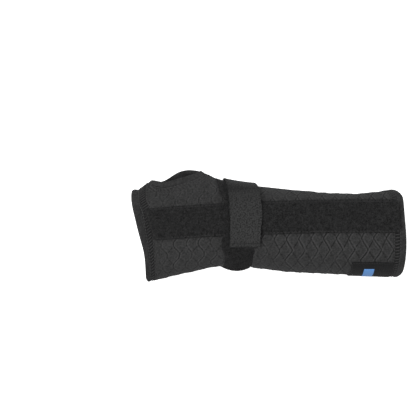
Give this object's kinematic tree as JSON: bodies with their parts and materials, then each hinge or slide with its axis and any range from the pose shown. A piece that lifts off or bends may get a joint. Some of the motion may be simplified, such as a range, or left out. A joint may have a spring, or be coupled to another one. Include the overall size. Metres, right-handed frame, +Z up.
{
  "type": "wrist splint",
  "caption": "Long pull-on wrist splint in black embossed knit, with a thumb hole, a palm pocket holding a slide-out aluminium stay, and a wrist strap whose end peels open.",
  "frame": {"origin": "centre of the bounding box in plan, at the surface the splint lies on", "axes": "+X from the fingers to the elbow, +Y to the thumb side, +Z up through the palm; the splint lies on its back"},
  "size_m": [0.243, 0.1046, 0.0689],
  "materials": {
    "knit": "embossed knit, matt",
    "hem_knit": "plain folded knit, matt",
    "seam_tape": "flat seam tape with cover stitch",
    "loop_pile": "brushed loop pile",
    "pocket_tape": "plain woven tape",
    "channel_tape": "plain woven channel tape",
    "stay_metal": "satin aluminium bar",
    "spring_metal": "flat spring steel",
    "tip_plastic": "moulded tip, satin",
    "strap_elastic": "ribbed elastic webbing",
    "hook_tape": "moulded hook tape",
    "label_cloth": "smooth woven label",
    "stripe": "plain woven blue stripe"
  },
  "bodies": {
    "sleeve": {"palmar_panel": "knit", "dorsal_panel": "knit", "ulnar_seam": "seam_tape", "radial_seam_hand": "seam_tape", "radial_seam_forearm": "seam_tape", "hand_hem": "hem_knit", "forearm_hem": "hem_knit", "thumb_hem": "hem_knit", "palm_pocket_back": "pocket_tape", "palm_pocket_front": "loop_pile", "back_channel_radial": "channel_tape", "back_channel_ulnar": "channel_tape", "back_stay_radial": "spring_metal", "back_stay_ulnar": "spring_metal", "back_stay_tips": "spring_metal", "strap_band": "loop_pile", "strap_anchor": "channel_tape", "label_patch": "label_cloth", "label_stripe": "stripe"},
    "stay": {"palm_stay": "stay_metal", "palm_stay_tip_hand": "tip_plastic", "palm_stay_tip_forearm": "tip_plastic"},
    "strap_end": {"strap_free_end": "strap_elastic", "strap_hook_patch": "hook_tape", "strap_end_tip": "strap_elastic"}
  },
  "joints": [
    {"name": "stay_slide", "type": "hinge", "parent": "sleeve", "child": "stay", "pos_m": [0.08684, -0.00443, -0.7362], "axis": [0, 1, 0], "range_deg": [0, 15.3]},
    {"name": "strap_peel", "type": "hinge", "parent": "sleeve", "child": "strap_end", "pos_m": [-0.02184, 0.03893, 0.03791], "axis": [-0.9755, 0.2027, -0.085], "range_deg": [0, 150]}
  ]
}
